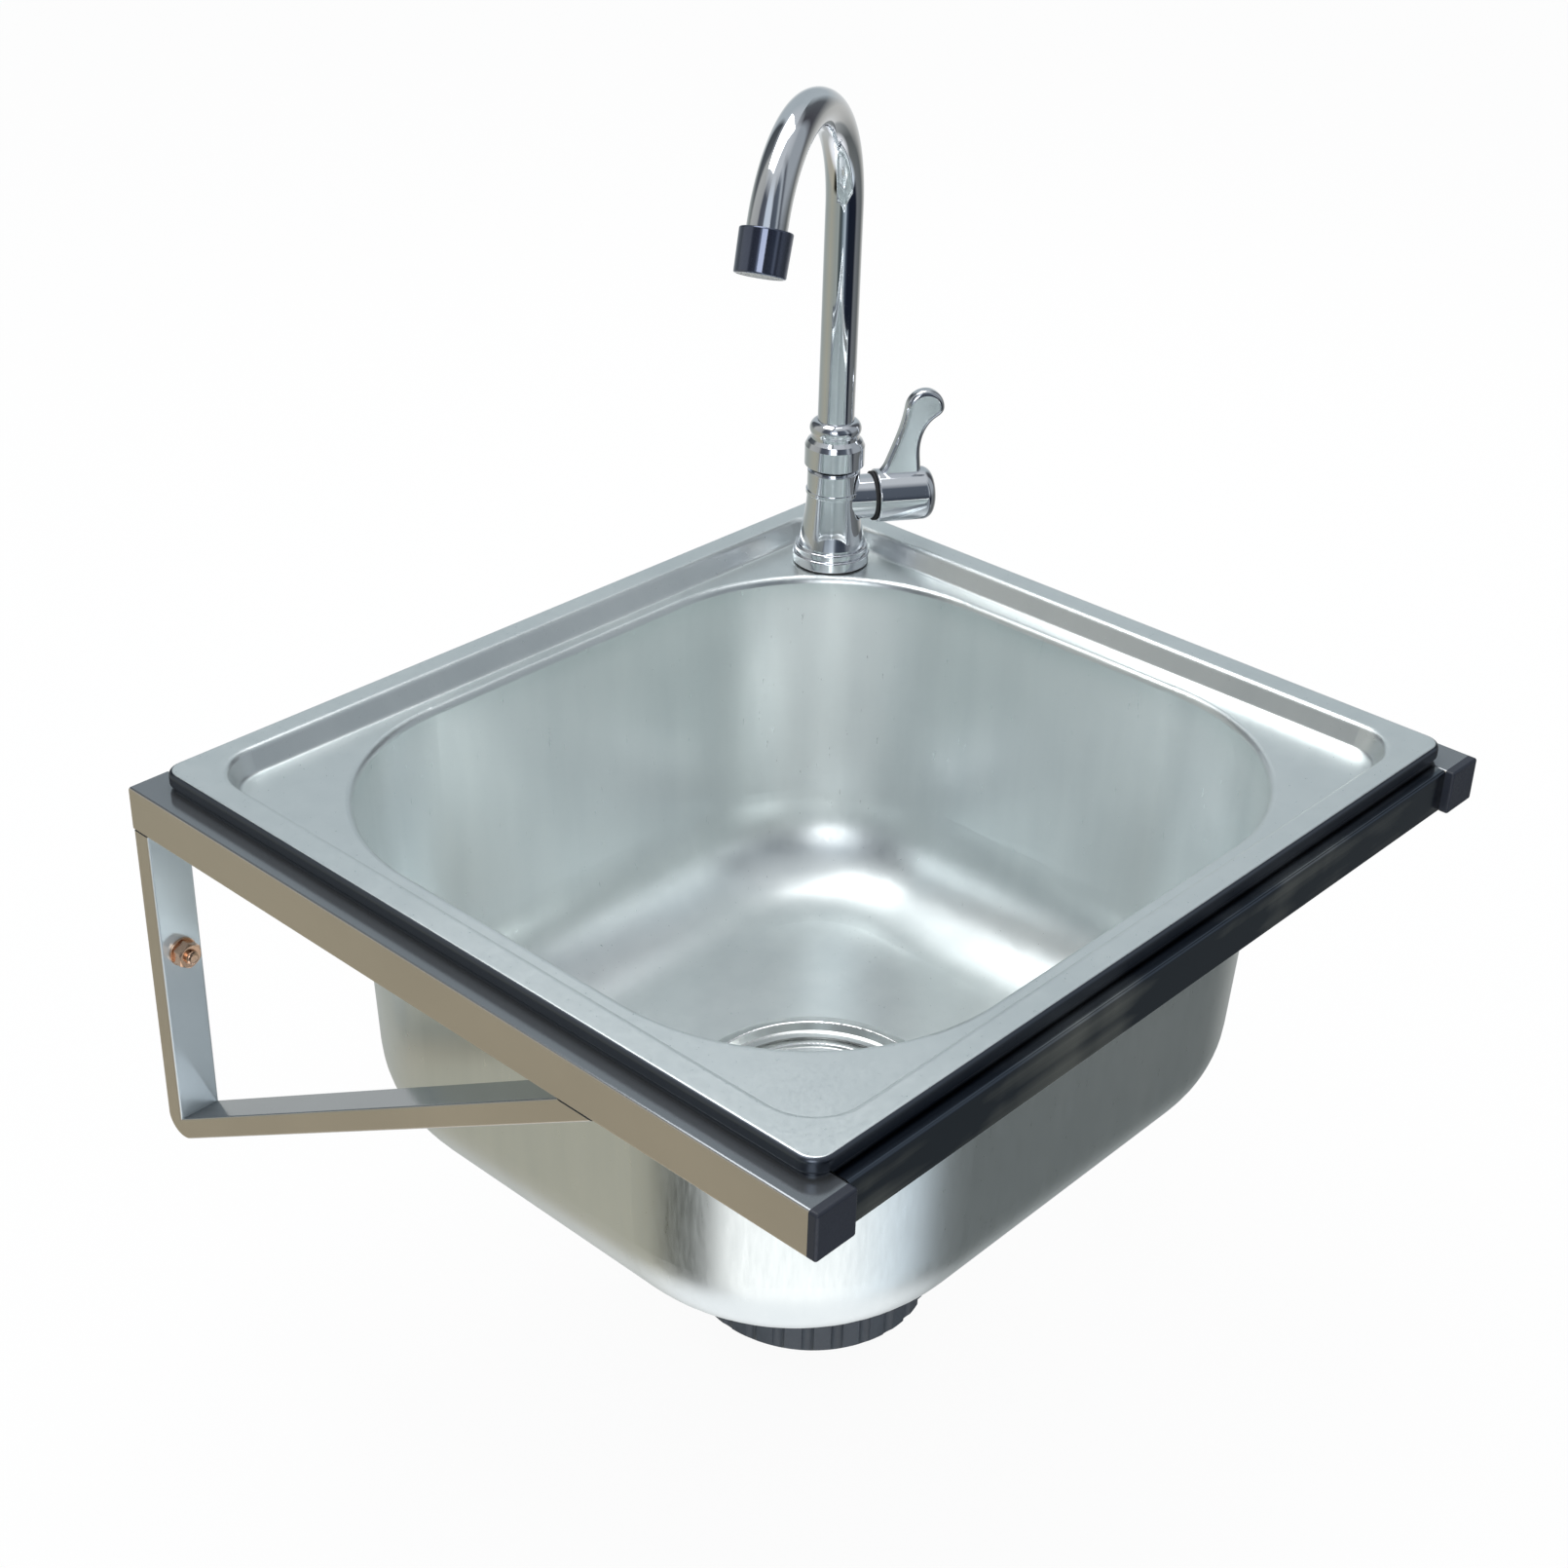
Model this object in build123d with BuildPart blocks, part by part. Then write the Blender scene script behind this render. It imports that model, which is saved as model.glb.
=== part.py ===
from build123d import *
import os
from math import atan, cos, degrees, radians, sin, tan

# A wall-hung sink on a tube frame: pressed bowl, swan-neck tap with a side
# handle, basket drain. Millimetres, +Z up, the wall is the plane Y = 0 and the
# origin lies midway between the two wall bolts.

os.makedirs("parts", exist_ok=True)

# Bowl at the middle of the sink
bowl_width = 427.0
bowl_depth = 387.0
bowl_corner = 118.0
bowl_drop = 203.5
bowl_draft = 2.8
bowl_lip = 4.0
bowl_bend = 62.0
core_margin = 8.0

# Sunken deck around the bowl
deck_side = 14.0
deck_front = 11.0
recess_corner = 22.0
recess_drop = 12.0
recess_lean = 25.0
recess_bend = 4.0
recess_foot_bend = 3.0

# Raised rim around the deck, its skirt and its place on the frame
rim_side = 22.5
rim_front = 20.5
rim_corner = 11.0
rim_round = 2.5
rim_top = 110.0
skirt = 10.0
hem_rise = 2.0
hem_inset = 2.0
hem_round = 1.6
sheet = 1.0
wall_gap = 10.0

# Pressed seat of the drain in the bowl's floor
seat_drop = 6.0
seat_lean = 25.0
seat_play = 1.0

# Tube frame
bar = 25.0
bar_wall = 1.0
bar_corner = 1.6
side_overhang = 13.0
front_overhang = 8.0
strip = 12.0
strip_corner = 1.5
elbow = 12.0
brace_foot = -126.5
brace_reach = 342.5

# Plugs in the arms' front ends
plug_head = 5.0
plug_round = 1.4
plug_stub = 14.0
plug_stub_wall = 2.0
plug_clearance = 0.15

# Wall fasteners on the posts
bolt_hole = 4.5
stud_radius = 3.95
nut_bore = 4.0
nut_flats = 13.0
nut_face_inset = 0.2
nut_height = 6.5
nut_chamfer = 0.8
stud_reach = 3.0
stud_round = 1.8
washer_radius = 8.0
washer_bore = 4.2
washer_height = 1.6

# Tap: place on the deck and its base
tap_rim_side = 47.5
tap_rim_back = 52.0
tap_hole = 11.5
shank_radius = 11.0
shank_length = 52.0
inlet_radius = 10.48
inlet_length = 30.0
water_bore = 6.0
gasket_radius = 22.5
gasket_height = 1.0
base_radius = 23.5
base_height = 6.5
base_round = 1.2
groove_radius = 21.8
groove_height = 1.5
ring_radius = 22.3
ring_height = 3.0
neck_groove_radius = 20.6
waist_radius = 15.8
flare_middle = 17.3
flare_height = 31.5
bead_radius = 16.6
bead_height = 2.5
drum_radius = 16.0
drum_height = 12.5

# Swivel joint of the spout
spigot_radius = 14.0
spigot_height = 13.0
socket_radius = 12.9
socket_depth = 23.0
running_gap = 0.05
loose_gap = 0.3
nut_lift = 1.0
nut_shoulder = 16.0
nut_outer = 18.1
nut_foot_wall = 0.6
nut_flare = 3.0
nut_grip = 12.0
nut_taper = 3.0
nut_step = 1.5
nut_groove_radius = 14.6
nut_groove = 2.0
nut_groove_edge = 1.0
nut_crown = 8.0
nut_crown_bulge = 14.9
nut_mouth = 11.3
sleeve_wall = 1.75
flange_rise = 0.6
o_ring_groove = 1.2
o_ring_round = 0.3
o_ring_height = 2.0
o_ring_seat = 10.0

# Spout
spout_radius = 11.0
spout_wall = 1.2
spout_foot = 51.0
spout_rise = 221.0
arch_radius = 72.0
arch_sweep = 155.4
spout_turn = 204.3
tip_straight = 3.5
tip_socket = 8.0
cap_radius = 14.5
cap_end_radius = 14.0
cap_length = 24.0
cap_round = 1.0
aerator_radius = 12.5
aerator_height = 9.0
aerator_inset = 0.2
aerator_hole = 1.1
aerator_pitch = 3.3
aerator_rings = 3
aerator_step = 6

# Valve and handle, on an axis that leaves the tap body sideways
branch_turn = -34.0
branch_height = 40.6
branch_radius = 13.6
branch_length = 18.0
cartridge_radius = 9.4
cartridge_clearance = 0.1
cartridge_back = 8.0
cartridge_port = 4.5
cartridge_neck = 7.9
bonnet_length = 6.0
seal_radius = 15.0
seal_height = 1.5
seal_gap = 0.5
hub_radius = 16.3
hub_length = 28.0
hub_round = 1.0
hub_hollow = 10.0
hub_hollow_depth = 4.0
hub_web = 1.6
hub_recess = 11.0
hub_recess_depth = 2.0
cap_height = 8.0
hub_cap_round = 7.0
hub_cap_hollow = 5.0
lever_thickness = 9.0
lever_round = 3.2
lever_head = 11.9
lever_margin = 0.6
lever_flare = (-20.8, 24.2)
lever_back = (-16.4, 35.8)
lever_throat = (-0.9, 33.0)
lever_shoulder = (6.7, 48.2)
lever_root = 5.0
lever_toe = 1.6
lever_head_side = 0.8
lever_head_height = 55.2
lever_head_start = 172.0
lever_head_finish = 4.0
spindle_radius = 4.0
spindle_square = 5.6
spindle_foot = 12.0
screw_radius = 2.0
screw_length = 7.0
screw_tip_gap = 1.0
screw_head = 3.6
screw_head_height = 2.6

# Washer and nut that clamp the tap under the deck
shank_washer_radius = 19.0
shank_washer_height = 2.0
shank_nut_flats = 30.0
shank_nut_height = 8.0
shank_washer_clearance = 0.3
shank_clearance = 0.06

# Basket and lid in the drain
basket_radius = 46.0
basket_play = 3.5
basket_lap = 2.5
basket_depth = 42.0
basket_sheet = 0.9
basket_hole = 1.9
basket_hole_rings = 3
basket_hole_pitch = 10.5
basket_hole_step = 8
basket_hub = 6.0
basket_hub_height = 16.0
lid_play = 0.5
lid_gap = 0.3
lid_dish = 1.5
lid_sheet = 0.9
lid_ring = 3.0
lid_flange = 11.5
lid_fit = 0.05
lid_round = 1.2
lid_stem = 4.0
lid_stem_gap = 0.4

# Drain around them, counted outwards from the lid
drain_forward = 8.0
neck_play = 3.3
neck_length = 32.0
shelf_drop = 4.2
flange_sheet = 1.2
flange_land = 5.5
flange_brim = 4.5
flange_bead = 5.5
flange_bead_width = 2.2
flange_bead_round = 1.0
flange_gasket_height = 1.0
flange_gasket_inset = 4.0
hole_play = 1.0
cup_bottom = -213.0
cup_collar = 26.0
cup_relief = 1.5
cup_wall = 4.5
cup_shelf = 3.0
cup_slope = 4.0
cup_rib_count = 22
cup_rib_width = 5.0
cup_rib_depth = 1.6
cup_gasket_height = 1.0
spigot_step = 3.5
spigot_wall = 6.5
spigot_length = 12.5
union_wall = 6.4
union_height = 23.0
union_floor = 4.3
union_rib_count = 26
union_rib_depth = 2.2
union_rib_radius = 4.0
union_bevel = 2.5
thread_clearance = 0.05
tail_flange_height = 4.0
tail_play = 1.0
tail_radius = 23.9
tail_undercut = 1.0
tail_bore = 20.0
tail_thread = 26.0
tail_clearance = 1.1

# Places worked out from the sizes above
recess_width = bowl_width + 2 * deck_side
recess_depth = bowl_depth + 2 * deck_front
rim_width = recess_width + 2 * rim_side
rim_depth = recess_depth + 2 * rim_front
rim_y = -(wall_gap + rim_depth / 2)
tap_side = rim_width / 2 - tap_rim_side
tap_back = wall_gap + tap_rim_back
deck = rim_top - recess_drop
floor = deck - bowl_drop
seat = floor - seat_drop
arm_top = rim_top - skirt
arm_bottom = arm_top - bar
arm_middle = arm_top - bar / 2
arm_side = rim_width / 2 + side_overhang - bar / 2
arm_reach = wall_gap + rim_depth + front_overhang
bar_hollow = bar - 2 * bar_wall
bar_hollow_corner = bar_corner - bar_wall
tap_place = (tap_side, -tap_back)
rim_place = (0, rim_y)
drain_y = rim_y - drain_forward
drain_place = (0, drain_y)

# Radii of the drain, from the basket outwards
shelf_mouth = basket_radius + basket_play
basket_rim = shelf_mouth + basket_lap
lid_radius = basket_rim + lid_play + lid_ring
neck_inner = lid_radius + neck_play
neck_radius = neck_inner + flange_sheet
drain_hole = neck_radius + hole_play
flange_ledge = neck_radius + flange_land
flange_radius = flange_ledge + flange_brim
flange_gasket_radius = flange_radius - flange_gasket_inset
seat_radius = flange_radius + seat_play + seat_drop * tan(radians(seat_lean))
cup_thread = neck_radius + thread_clearance
cup_bore = cup_thread + cup_relief
cup_radius = cup_bore + cup_wall
spigot_outer = cup_radius - spigot_step
spigot_bore = spigot_outer - spigot_wall
union_bore = spigot_outer + thread_clearance
union_radius = union_bore + union_wall
tail_flange_radius = spigot_outer - tail_play


def slant_shift(depth, slant):
    """How far a wall at this slant from upright moves out when its face sinks by depth."""
    return depth / cos(radians(slant)) - depth * tan(radians(slant))


def pressed_block(depth):
    """A block under the sheet's own surface, or under that surface sunk by depth."""
    foot_shift = slant_shift(depth, recess_lean)
    lip_shift = slant_shift(depth, bowl_draft)
    seat_shift = slant_shift(depth, seat_lean)
    core = core_margin + 5 * depth
    hem_shift = hem_inset + depth
    with BuildPart() as block:
        with BuildSketch(Plane.XY.offset(rim_top - depth)):
            with Locations(rim_place):
                RectangleRounded(rim_width - 2 * depth, rim_depth - 2 * depth, rim_corner - depth)
        extrude(amount=-(skirt - hem_rise - 2 * depth))
        fillet(block.edges().group_by(Axis.Z)[-1], rim_round - depth)
        fillet(block.edges().group_by(Axis.Z)[0], hem_round - depth)
        with BuildSketch(Plane.XY.offset(arm_top + hem_rise + depth)):
            with Locations(rim_place):
                RectangleRounded(
                    rim_width - 2 * hem_shift,
                    rim_depth - 2 * hem_shift,
                    rim_corner - hem_shift,
                )
        extrude(amount=-(hem_rise + 2 * depth))
        with BuildSketch(Plane.XY.offset(deck + recess_foot_bend)):
            with Locations(rim_place):
                Rectangle(recess_width + 2 * core, recess_depth + 2 * core)
        extrude(amount=-(bowl_drop + 4 * core))
        with BuildSketch(Plane.XY.offset(deck - depth)):
            with Locations(rim_place):
                RectangleRounded(
                    recess_width + 2 * foot_shift,
                    recess_depth + 2 * foot_shift,
                    recess_corner + foot_shift,
                )
        extrude(amount=recess_drop, taper=-recess_lean, mode=Mode.SUBTRACT)
        recess_edges = block.edges(Select.LAST).group_by(Axis.Z)
        fillet(recess_edges[-1], recess_bend - depth)
        recess_floor = block.faces().filter_by(Plane.XY).filter_by_position(
            Axis.Z, deck - depth - 0.01, deck - depth + 0.01
        )
        fillet(recess_floor.edges(), recess_foot_bend + depth)
        with BuildSketch(Plane.XY.offset(deck - depth)):
            with Locations(rim_place):
                RectangleRounded(
                    bowl_width + 2 * lip_shift,
                    bowl_depth + 2 * lip_shift,
                    bowl_corner + lip_shift,
                )
        extrude(amount=-bowl_drop, taper=bowl_draft, mode=Mode.SUBTRACT)
        bowl_edges = block.edges(Select.LAST).group_by(Axis.Z)
        fillet(bowl_edges[-1], bowl_lip - depth)
        bowl_floor = block.faces().filter_by(Plane.XY).filter_by_position(
            Axis.Z, floor - depth - 0.01, floor - depth + 0.01
        )
        fillet(bowl_floor.edges(), bowl_bend + depth)
        with BuildSketch(Plane.XY.offset(floor - depth)):
            with Locations(drain_place):
                Circle(seat_radius + seat_shift)
        extrude(amount=-seat_drop, taper=seat_lean, mode=Mode.SUBTRACT)
    return block.part


# Pressed sink bowl: the skin between the face and the same face one sheet lower
with BuildPart() as sink_bowl:
    add(pressed_block(0))
    add(pressed_block(sheet), mode=Mode.SUBTRACT)
    with BuildSketch(Plane.XY.offset(floor)):
        with Locations(drain_place):
            Circle(drain_hole)
    extrude(amount=-2 * bar, mode=Mode.SUBTRACT)
    with BuildSketch(Plane.XY.offset(deck)):
        with Locations(tap_place):
            Circle(tap_hole)
    extrude(amount=-2 * sheet, mode=Mode.SUBTRACT)
sink_bowl.part.label = "sink_bowl"
export_step(sink_bowl.part, "parts/sink_bowl.step")

# Square arms that carry the rim, from the wall to the front
with BuildPart() as left_arm:
    with BuildSketch(Plane.XZ):
        with Locations((-arm_side, arm_middle)):
            RectangleRounded(bar, bar, bar_corner)
            RectangleRounded(bar_hollow, bar_hollow, bar_hollow_corner, mode=Mode.SUBTRACT)
    extrude(amount=arm_reach)
left_arm.part.label = "left_arm"
export_step(left_arm.part, "parts/left_arm.step")

with BuildPart() as right_arm:
    mirror(left_arm.part, about=Plane.YZ)
right_arm.part.label = "right_arm"
export_step(right_arm.part, "parts/right_arm.step")

with BuildPart() as front_bar:
    with BuildSketch(Plane.YZ.offset(-arm_side + bar / 2)):
        with Locations((-arm_reach + bar / 2, arm_middle)):
            RectangleRounded(bar, bar, bar_corner)
            RectangleRounded(bar_hollow, bar_hollow, bar_hollow_corner, mode=Mode.SUBTRACT)
    extrude(amount=2 * arm_side - bar)
front_bar.part.label = "front_bar"
export_step(front_bar.part, "parts/front_bar.step")

# Plugs that close the arms at the front
with BuildPart() as left_plug:
    with BuildSketch(Plane.XZ.offset(arm_reach)):
        with Locations((-arm_side, arm_middle)):
            RectangleRounded(bar, bar, bar_corner)
    extrude(amount=plug_head)
    fillet(left_plug.edges().group_by(Axis.Y)[0], plug_round)
    with BuildSketch(Plane.XZ.offset(arm_reach)):
        with Locations((-arm_side, arm_middle)):
            Rectangle(bar_hollow - 2 * plug_clearance, bar_hollow - 2 * plug_clearance)
            stub_hollow = bar_hollow - 2 * (plug_clearance + plug_stub_wall)
            Rectangle(stub_hollow, stub_hollow, mode=Mode.SUBTRACT)
    extrude(amount=-plug_stub)
    chamfer(left_plug.edges().group_by(Axis.Y)[-1].group_by(SortBy.LENGTH)[-1], bar_hollow_corner)
    stub_corners = left_plug.edges().filter_by(Axis.Y).filter_by(
        lambda edge: edge.length > plug_stub / 2
    )
    outer_corners = stub_corners.filter_by(
        lambda edge: abs(edge.center().X + arm_side) > stub_hollow / 2 + plug_stub_wall / 2
    )
    chamfer(outer_corners, bar_hollow_corner)
left_plug.part.label = "left_plug"
export_step(left_plug.part, "parts/left_plug.step")

with BuildPart() as right_plug:
    mirror(left_plug.part, about=Plane.YZ)
right_plug.part.label = "right_plug"
export_step(right_plug.part, "parts/right_plug.step")

# Flat tube bent into a post on the wall and a brace under the arm: the outer
# outline of both, its hollow, and the mitre where they meet
brace_slope = (arm_bottom - brace_foot) / brace_reach
brace_lean = atan(brace_slope)
strip_rise = strip / cos(brace_lean)
wall_rise = bar_wall / cos(brace_lean)
inner_foot = brace_foot + brace_slope * strip + strip_rise


def strip_outline(shrink, rise):
    """Corners, in Y and Z, of the bent strip drawn in by shrink, or by rise along Z."""
    low = brace_foot + rise
    high = brace_foot + strip_rise - rise
    return [
        (-shrink, arm_bottom),
        (-shrink, low + brace_slope * shrink),
        (-(arm_bottom - low) / brace_slope, arm_bottom),
        (-(arm_bottom - high) / brace_slope, arm_bottom),
        (-(strip - shrink), high + brace_slope * (strip - shrink)),
        (-(strip - shrink), arm_bottom),
    ]


with BuildPart() as bent_strip:
    with BuildSketch(Plane.YZ.offset(-arm_side - bar / 2)) as strip_face:
        with BuildLine():
            Polyline(strip_outline(0, 0), close=True)
        make_face()
        fillet(strip_face.vertices().group_by(Axis.Y)[0], elbow)
    extrude(amount=bar)
    side_edges = bent_strip.faces().filter_by(Plane.YZ).edges()
    fillet(side_edges.filter_by(lambda edge: edge.center().Z < arm_bottom - 0.01), strip_corner)
    with BuildSketch(Plane.YZ.offset(-arm_side - bar / 2 + bar_wall)) as strip_hollow:
        with BuildLine():
            Polyline(strip_outline(bar_wall, wall_rise), close=True)
        make_face()
        fillet(strip_hollow.vertices().group_by(Axis.Y)[0], elbow - bar_wall)
    extrude(amount=bar - 2 * bar_wall, mode=Mode.SUBTRACT)

mitre = Plane(
    origin=(-arm_side, 0, brace_foot),
    x_dir=(1, 0, 0),
    z_dir=(0, -(inner_foot - brace_foot), -strip),
)

with BuildPart() as left_post:
    add(bent_strip.part)
    split(bisect_by=mitre, keep=Keep.BOTTOM)
    with BuildSketch(Plane.XZ):
        with Locations((-arm_side, 0)):
            Circle(bolt_hole)
    extrude(amount=strip, both=True, mode=Mode.SUBTRACT)
left_post.part.label = "left_post"
export_step(left_post.part, "parts/left_post.step")

with BuildPart() as right_post:
    mirror(left_post.part, about=Plane.YZ)
right_post.part.label = "right_post"
export_step(right_post.part, "parts/right_post.step")

with BuildPart() as left_brace:
    add(bent_strip.part)
    split(bisect_by=mitre, keep=Keep.TOP)
left_brace.part.label = "left_brace"
export_step(left_brace.part, "parts/left_brace.step")

with BuildPart() as right_brace:
    mirror(left_brace.part, about=Plane.YZ)
right_brace.part.label = "right_brace"
export_step(right_brace.part, "parts/right_brace.step")

# Washers, nuts and the ends of the wall studs on the two posts
with BuildPart() as anchor_washers:
    with BuildSketch(Plane.XZ.offset(strip)):
        with GridLocations(2 * arm_side, 1, 2, 1):
            Circle(washer_radius)
            Circle(washer_bore, mode=Mode.SUBTRACT)
    extrude(amount=washer_height)
anchor_washers.part.label = "anchor_washers"
export_step(anchor_washers.part, "parts/anchor_washers.step")

nut_face = strip + washer_height
nut_corner = nut_flats / 2 / cos(radians(30))
with BuildPart() as anchor_nut:
    with BuildSketch(Plane.XZ.offset(nut_face)):
        with Locations((-arm_side, 0)):
            RegularPolygon(nut_flats / 2, 6, major_radius=False, rotation=30)
    extrude(amount=nut_height)
    with BuildSketch(Plane.XY):
        with BuildLine():
            Polyline(
                [
                    (-arm_side, -nut_face),
                    (-arm_side + nut_flats / 2 - nut_face_inset, -nut_face),
                    (-arm_side + nut_corner, -nut_face - nut_chamfer),
                    (-arm_side + nut_corner, -nut_face - nut_height + nut_chamfer),
                    (-arm_side + nut_flats / 2 - nut_face_inset, -nut_face - nut_height),
                    (-arm_side, -nut_face - nut_height),
                ],
                close=True,
            )
        make_face()
    revolve(axis=Axis((-arm_side, 0, 0), (0, 1, 0)), mode=Mode.INTERSECT)
    with BuildSketch(Plane.XZ.offset(nut_face)):
        with Locations((-arm_side, 0)):
            Circle(nut_bore)
    extrude(amount=nut_height, mode=Mode.SUBTRACT)

with BuildPart() as anchor_nuts:
    add(anchor_nut.part)
    mirror(anchor_nut.part, about=Plane.YZ)
anchor_nuts.part.label = "anchor_nuts"
export_step(anchor_nuts.part, "parts/anchor_nuts.step")

with BuildPart() as anchor_stud_ends:
    with BuildSketch(Plane.XZ.offset(strip)):
        with GridLocations(2 * arm_side, 1, 2, 1):
            Circle(stud_radius)
    extrude(amount=washer_height + nut_height + stud_reach)
    fillet(anchor_stud_ends.edges().group_by(Axis.Y)[0], stud_round)
anchor_stud_ends.part.label = "anchor_stud_ends"
export_step(anchor_stud_ends.part, "parts/anchor_stud_ends.step")

# Tap body on its gasket. Heights in this section count from the deck.
tap_axis = Axis((tap_side, -tap_back, deck), (0, 0, 1))
tap_plane = Plane(origin=(tap_side, -tap_back, deck), x_dir=(1, 0, 0), z_dir=(0, -1, 0))
tap_foot = Plane(origin=(tap_side, -tap_back, deck))
branch_dir = (cos(radians(branch_turn)), sin(radians(branch_turn)), 0)
branch_plane = Plane(
    origin=(tap_side, -tap_back, deck + branch_height),
    x_dir=(branch_dir[1], -branch_dir[0], 0),
    z_dir=branch_dir,
)
base_top = gasket_height + base_height
groove_top = base_top + groove_height
ring_top = groove_top + ring_height
flare_foot = ring_top + groove_height
flare_top = flare_foot + flare_height
bead_top = flare_top + bead_height
drum_top = bead_top + drum_height
spigot_top = drum_top + spigot_height


def ring_edges(piece, radius, height):
    """Circular edges of this radius at this height above the deck."""
    rings = piece.edges().filter_by(GeomType.CIRCLE)
    return rings.filter_by(
        lambda edge: abs(edge.radius - radius) < 0.01
        and abs(edge.center().Z - deck - height) < 0.01
    )


with BuildPart() as base_gasket:
    with BuildSketch(tap_foot):
        Circle(gasket_radius)
        Circle(tap_hole, mode=Mode.SUBTRACT)
    extrude(amount=gasket_height)
base_gasket.part.label = "base_gasket"
export_step(base_gasket.part, "parts/base_gasket.step")

with BuildPart() as tap_body:
    with BuildSketch(tap_plane):
        with BuildLine():
            Polyline(
                [
                    (waist_radius, flare_top),
                    (bead_radius, flare_top),
                    (bead_radius, bead_top),
                    (drum_radius, bead_top),
                    (drum_radius, drum_top),
                    (spigot_radius, drum_top),
                    (spigot_radius, spigot_top),
                    (0, spigot_top),
                    (0, -shank_length),
                    (inlet_radius, -shank_length),
                    (inlet_radius, inlet_length - shank_length),
                    (shank_radius, inlet_length - shank_length),
                    (shank_radius, gasket_height),
                    (base_radius, gasket_height),
                    (base_radius, base_top),
                    (groove_radius, base_top),
                    (groove_radius, groove_top),
                    (ring_radius, groove_top),
                    (ring_radius, ring_top),
                    (neck_groove_radius, ring_top),
                    (neck_groove_radius, flare_foot),
                ]
            )
            ThreePointArc(
                (neck_groove_radius, flare_foot),
                (flare_middle, (flare_foot + flare_top) / 2),
                (waist_radius, flare_top),
            )
        make_face()
    revolve(axis=tap_axis)
    fillet(ring_edges(tap_body, base_radius, base_top), base_round)
    fillet(ring_edges(tap_body, base_radius, gasket_height), base_round / 2)
    fillet(ring_edges(tap_body, ring_radius, ring_top), base_round)
    fillet(ring_edges(tap_body, bead_radius, flare_top), base_round / 2)
    fillet(ring_edges(tap_body, drum_radius, drum_top), base_round / 2)
    with BuildSketch(branch_plane):
        Circle(branch_radius)
    extrude(amount=branch_length)
    with BuildSketch(tap_foot.offset(-shank_length)):
        Circle(water_bore)
    extrude(amount=shank_length + spigot_top, mode=Mode.SUBTRACT)
    with BuildSketch(tap_foot.offset(spigot_top - socket_depth)):
        Circle(socket_radius)
    extrude(amount=socket_depth, mode=Mode.SUBTRACT)
    with BuildSketch(branch_plane.offset(-cartridge_back - cartridge_clearance)):
        Circle(cartridge_radius + cartridge_clearance)
    extrude(amount=cartridge_back + cartridge_clearance + branch_length, mode=Mode.SUBTRACT)
tap_body.part.label = "tap_body"
export_step(tap_body.part, "parts/tap_body.step")

# Nut that holds the spout in the body but lets it swivel
nut_foot = drum_top + nut_lift
nut_grip_foot = nut_foot + nut_flare
nut_grip_top = nut_grip_foot + nut_grip
nut_step_top = nut_grip_top + nut_taper
nut_groove_foot = nut_step_top + nut_groove
nut_groove_top = nut_groove_foot + nut_groove
nut_crown_foot = nut_groove_top + nut_groove_edge
nut_top = nut_crown_foot + nut_crown
nut_ledge = nut_foot + nut_shoulder
with BuildPart() as spout_nut:
    with BuildSketch(tap_plane):
        with BuildLine():
            Polyline(
                [
                    (nut_groove_radius + loose_gap, nut_crown_foot),
                    (nut_groove_radius, nut_groove_top),
                    (nut_groove_radius, nut_groove_foot),
                    (nut_outer - nut_step, nut_step_top),
                    (nut_outer, nut_grip_top),
                    (nut_outer, nut_grip_foot),
                    (spigot_radius + nut_foot_wall, nut_foot),
                    (spigot_radius + thread_clearance, nut_foot),
                    (spigot_radius + thread_clearance, nut_ledge),
                    (spout_radius + running_gap, nut_ledge),
                    (spout_radius + running_gap, nut_top),
                    (nut_mouth, nut_top),
                ]
            )
            ThreePointArc(
                (nut_mouth, nut_top),
                (nut_crown_bulge, nut_top - nut_crown / 3),
                (nut_groove_radius + loose_gap, nut_crown_foot),
            )
        make_face()
    revolve(axis=tap_axis)
spout_nut.part.label = "spout_nut"
export_step(spout_nut.part, "parts/spout_nut.step")

# Spout: upright, arch and a short straight end, in the plane of its arch
spout_dir = (cos(radians(spout_turn)), sin(radians(spout_turn)), 0)
spout_plane = Plane(
    origin=(tap_side, -tap_back, deck),
    x_dir=spout_dir,
    z_dir=(spout_dir[1], -spout_dir[0], 0),
)
turn = radians(arch_sweep)
tip_length = tip_straight + tip_socket
arch_end = (arch_radius * (1 - cos(turn)), spout_rise + arch_radius * sin(turn))
spout_end = (arch_end[0] + tip_length * sin(turn), arch_end[1] + tip_length * cos(turn))
with BuildPart() as spout_tube:
    with BuildLine(spout_plane):
        Line((0, spout_foot), (0, spout_rise))
        JernArc((0, spout_rise), (0, 1), arch_radius, -arch_sweep)
        Line(arch_end, spout_end)
    with BuildSketch(tap_foot.offset(spout_foot)):
        Circle(spout_radius)
        Circle(spout_radius - spout_wall, mode=Mode.SUBTRACT)
    sweep()
spout_tube.part.label = "spout_tube"
export_step(spout_tube.part, "parts/spout_tube.step")

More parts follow.
